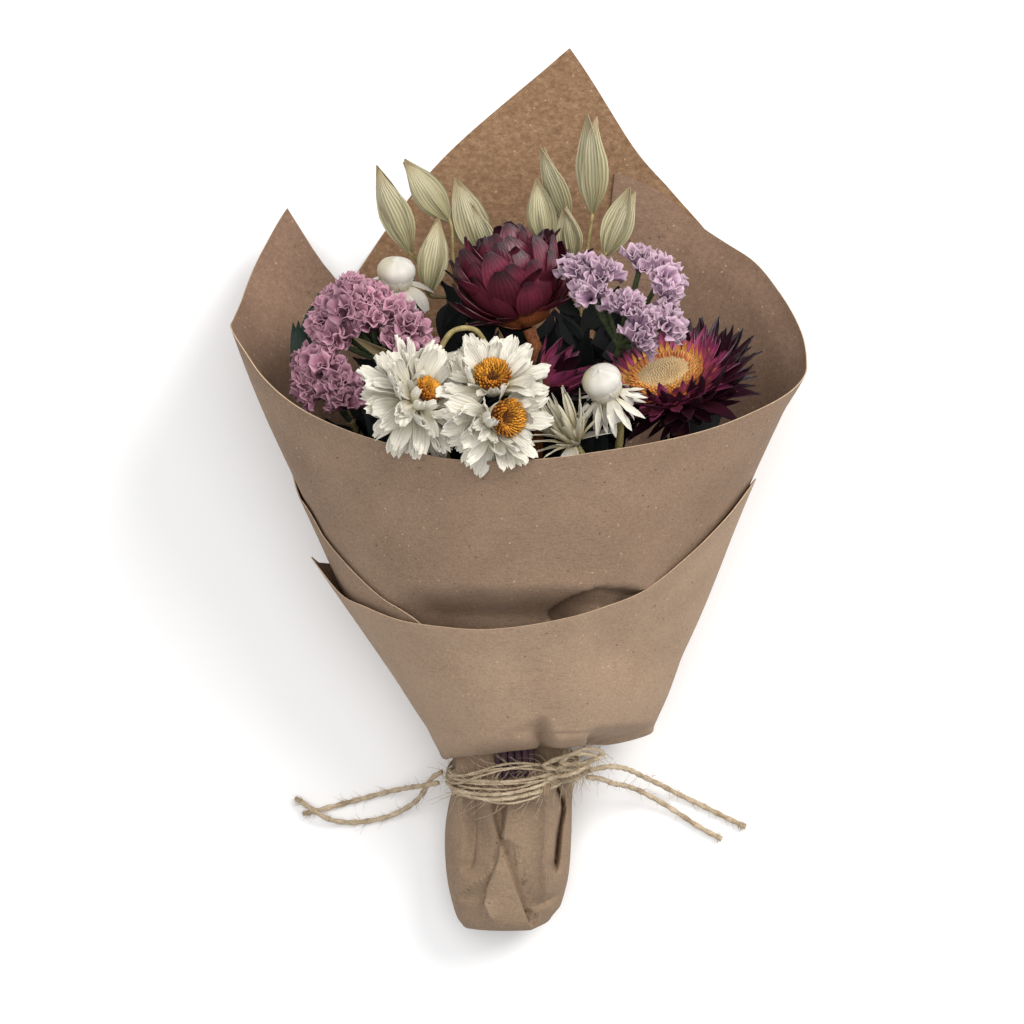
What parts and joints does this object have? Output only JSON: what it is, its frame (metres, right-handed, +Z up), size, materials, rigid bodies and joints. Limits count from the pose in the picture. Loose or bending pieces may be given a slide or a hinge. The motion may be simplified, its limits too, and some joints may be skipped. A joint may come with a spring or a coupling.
{
  "type": "mixed flower bouquet",
  "caption": "Small mixed bouquet of dried flowers rolled in a cone of brown kraft paper with a raised back peak and an outer collar, gathered at the neck and tied with jute twine.",
  "frame": {"origin": "middle of the bounding box's base, on the surface that the bouquet lies on, measured without the twine's free ends", "axes": "+Y from the wrapped foot to the peak of the paper, +X to the right as seen from above, +Z up from the surface that it lies on"},
  "size_m": [0.1423, 0.2275, 0.1015],
  "materials": {
    "kraft_back": "matt, fibrous",
    "kraft_front": "matt, smooth",
    "kraft_collar": "matt, smooth, creased",
    "dry_stem": "matt",
    "jute": "hairy twist",
    "burgundy_bract": "glossy, papery",
    "plum_bract": "glossy, papery",
    "yellow_disc": "matt, velvety",
    "white_petal": "satin, papery",
    "brown_disc": "matt, grainy",
    "pink_calyx": "matt, papery",
    "lilac_calyx": "matt, papery",
    "oat_husk": "satin, ribbed",
    "green_leaf": "matt, dry",
    "dry_leaf": "matt, dry"
  },
  "bodies": {
    "root": {"paper_back": "kraft_back", "paper_front": "kraft_front", "paper_collar": "kraft_collar", "stem_bundle": "dry_stem", "twine_binding": "jute", "twine_tail_left_a": "jute", "twine_tail_left_b": "jute", "twine_tail_right_a": "jute", "twine_tail_right_b": "jute", "strawflower_center": "burgundy_bract", "strawflower_lower": "plum_bract", "strawflower_right": "plum_bract", "strawflower_right_disc": "yellow_disc", "everlasting_left": "white_petal", "everlasting_left_disc": "brown_disc", "everlasting_middle": "white_petal", "everlasting_middle_disc": "brown_disc", "everlasting_front": "white_petal", "everlasting_front_disc": "brown_disc", "everlasting_bud_left": "white_petal", "everlasting_bud_right": "white_petal", "everlasting_side": "white_petal", "statice_pink_upper": "pink_calyx", "statice_pink_lower": "pink_calyx", "statice_lilac": "lilac_calyx", "oat_spray_left": "oat_husk", "oat_spray_right": "oat_husk", "leaf_dark": "green_leaf", "leaf_dry": "dry_leaf"}
  },
  "joints": []
}
